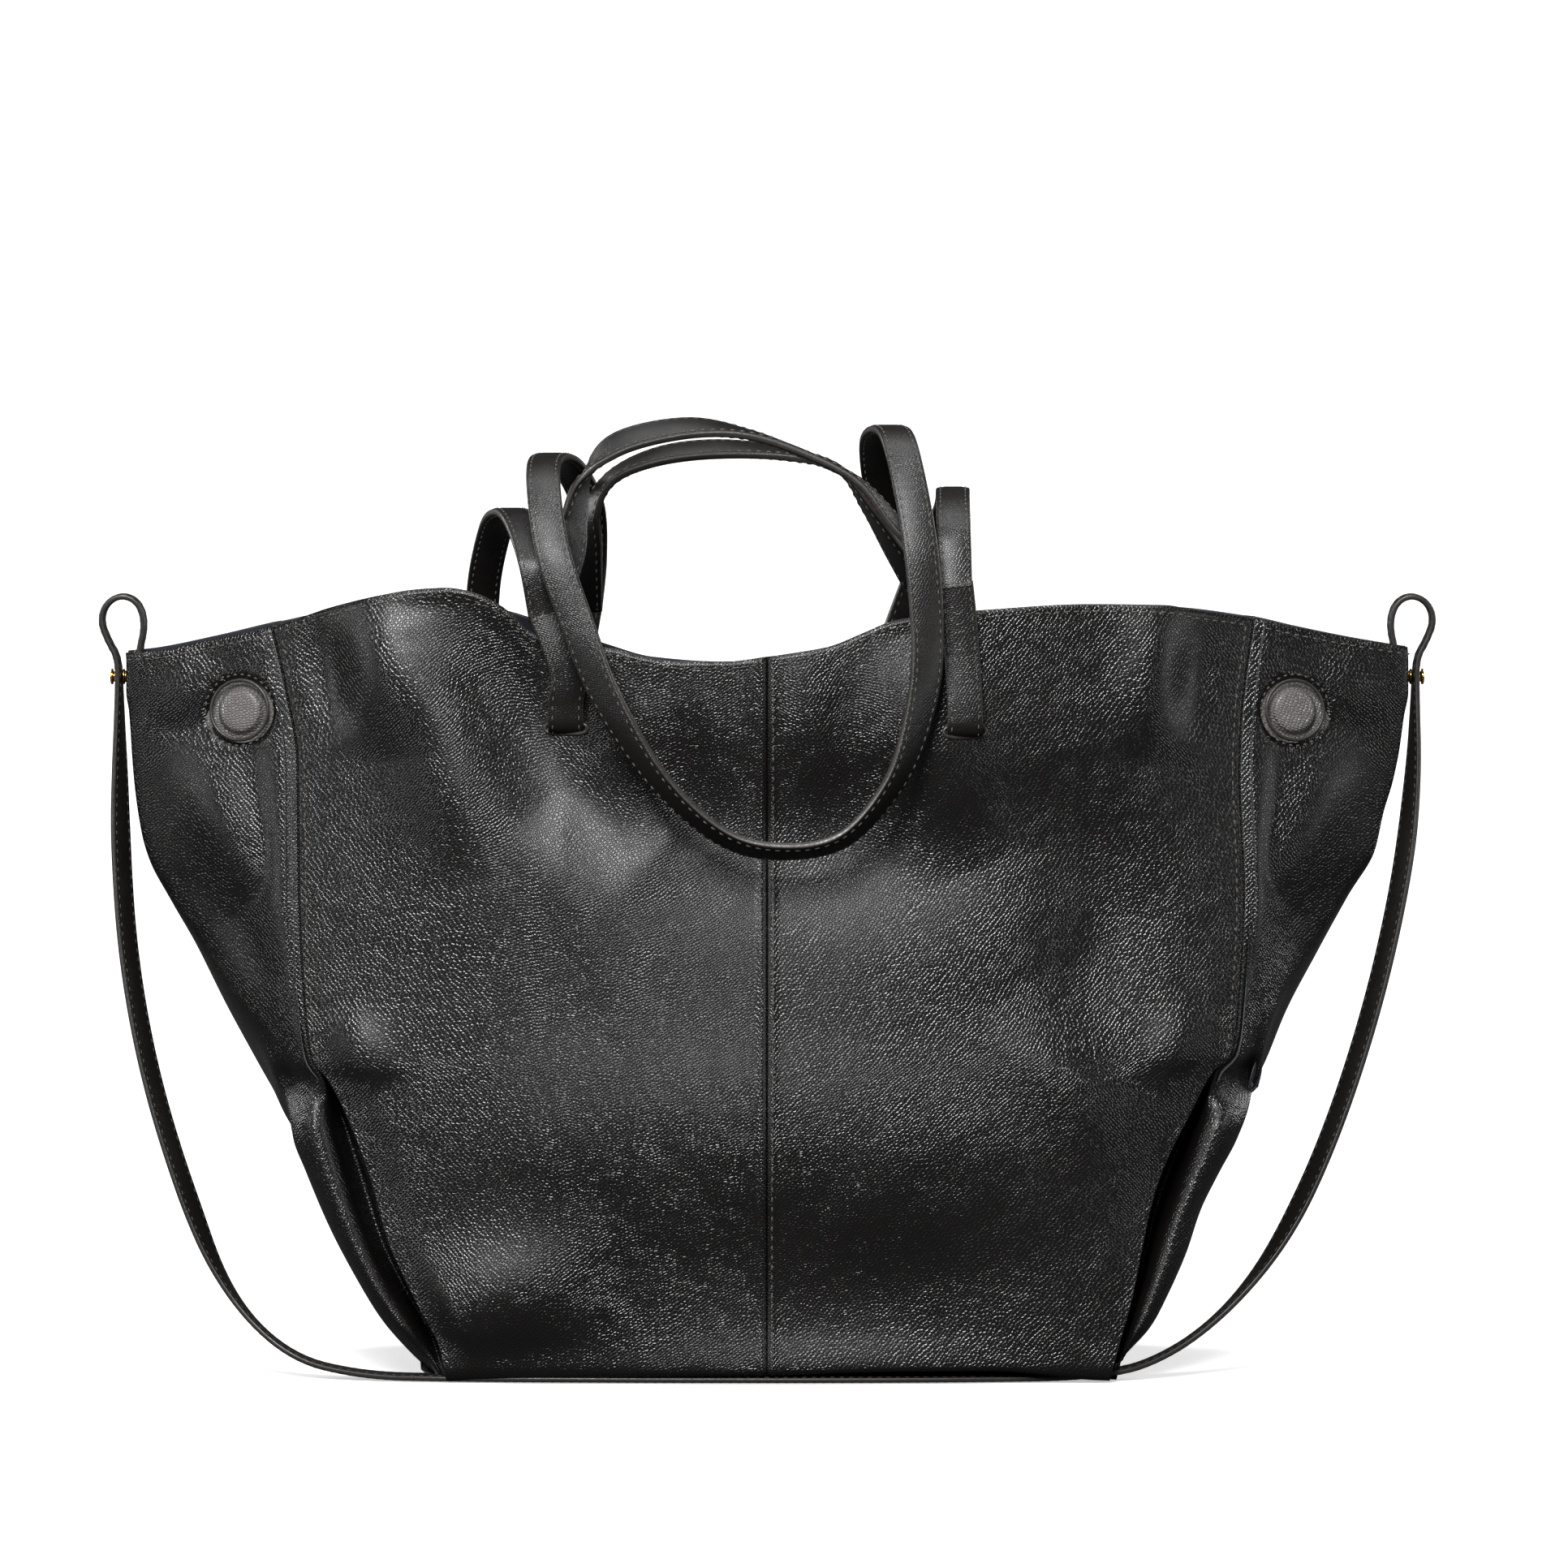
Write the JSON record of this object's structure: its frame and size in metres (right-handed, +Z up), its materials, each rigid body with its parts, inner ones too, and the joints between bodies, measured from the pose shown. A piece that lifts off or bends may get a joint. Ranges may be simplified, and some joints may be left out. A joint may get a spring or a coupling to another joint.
{
  "type": "winged leather tote bag",
  "caption": "Large black leather tote bag with winged top corners, wing magnets, long and short strap handles and a flat shoulder strap held by studs.",
  "frame": {"origin": "middle of the flat base, on the surface that the bag stands on", "axes": "+Z up, +X across the bag from wing to wing, the front faces -Y"},
  "size_m": [0.5506, 0.1562, 0.3895],
  "materials": {
    "body_leather": "fine cross-hatch grain, semi-gloss",
    "strap_leather": "fine grain with painted edges, semi-gloss",
    "leather_cover": "cross-hatch grain over a magnet",
    "magnet_steel": "plated",
    "gold_metal": "polished",
    "board": "matt stiffener board"
  },
  "bodies": {
    "bag": {"back_drop_left_leg": "strap_leather", "back_drop_right_leg": "strap_leather", "back_panel_left": "body_leather", "back_panel_right": "body_leather", "back_tab_left": "strap_leather", "back_tab_right": "strap_leather", "base_board": "board", "base_panel": "body_leather", "front_drop_left_leg": "strap_leather", "front_drop_right_leg": "strap_leather", "front_panel_left": "body_leather", "front_panel_right": "body_leather", "front_tab_left": "strap_leather", "front_tab_right": "strap_leather", "left_gusset": "body_leather", "left_stud_collar": "gold_metal", "left_stud_post": "gold_metal", "left_stud_screw": "gold_metal", "magnet_back_left": "magnet_steel", "magnet_back_right": "magnet_steel", "magnet_cover_back_left": "leather_cover", "magnet_cover_back_right": "leather_cover", "magnet_cover_front_left": "leather_cover", "magnet_cover_front_right": "leather_cover", "magnet_front_left": "magnet_steel", "magnet_front_right": "magnet_steel", "right_gusset": "body_leather", "right_stud_collar": "gold_metal", "right_stud_post": "gold_metal", "right_stud_screw": "gold_metal", "shoulder_strap": "strap_leather"},
    "front_loop": {"front_drop": "strap_leather"},
    "back_loop": {"back_drop": "strap_leather"},
    "front_grip": {"front_short_handle": "strap_leather"},
    "back_grip": {"back_short_handle": "strap_leather"}
  },
  "joints": [
    {"name": "front_loop_lift", "type": "hinge", "parent": "bag", "child": "front_loop", "pos_m": [-0.091, -0.042, 0.364], "axis": [-0.996, -0.0136, -0.0887], "range_deg": [0, 140]},
    {"name": "back_loop_lift", "type": "hinge", "parent": "bag", "child": "back_loop", "pos_m": [-0.113, 0.03, 0.344], "axis": [0.9971, 0.0633, 0.0422], "range_deg": [0, 140]},
    {"name": "front_grip_lean", "type": "hinge", "parent": "bag", "child": "front_grip", "pos_m": [-0.089, -0.03725, 0.31225], "axis": [0.9978, 0.0051, 0.0661], "range_deg": [-8, 10], "stiffness_Nm_per_rad": 0.05},
    {"name": "back_grip_lean", "type": "hinge", "parent": "bag", "child": "back_grip", "pos_m": [-0.076, 0.03737, 0.31325], "axis": [-1, -0.0006, 0], "range_deg": [-10, 5], "stiffness_Nm_per_rad": 0.05}
  ]
}
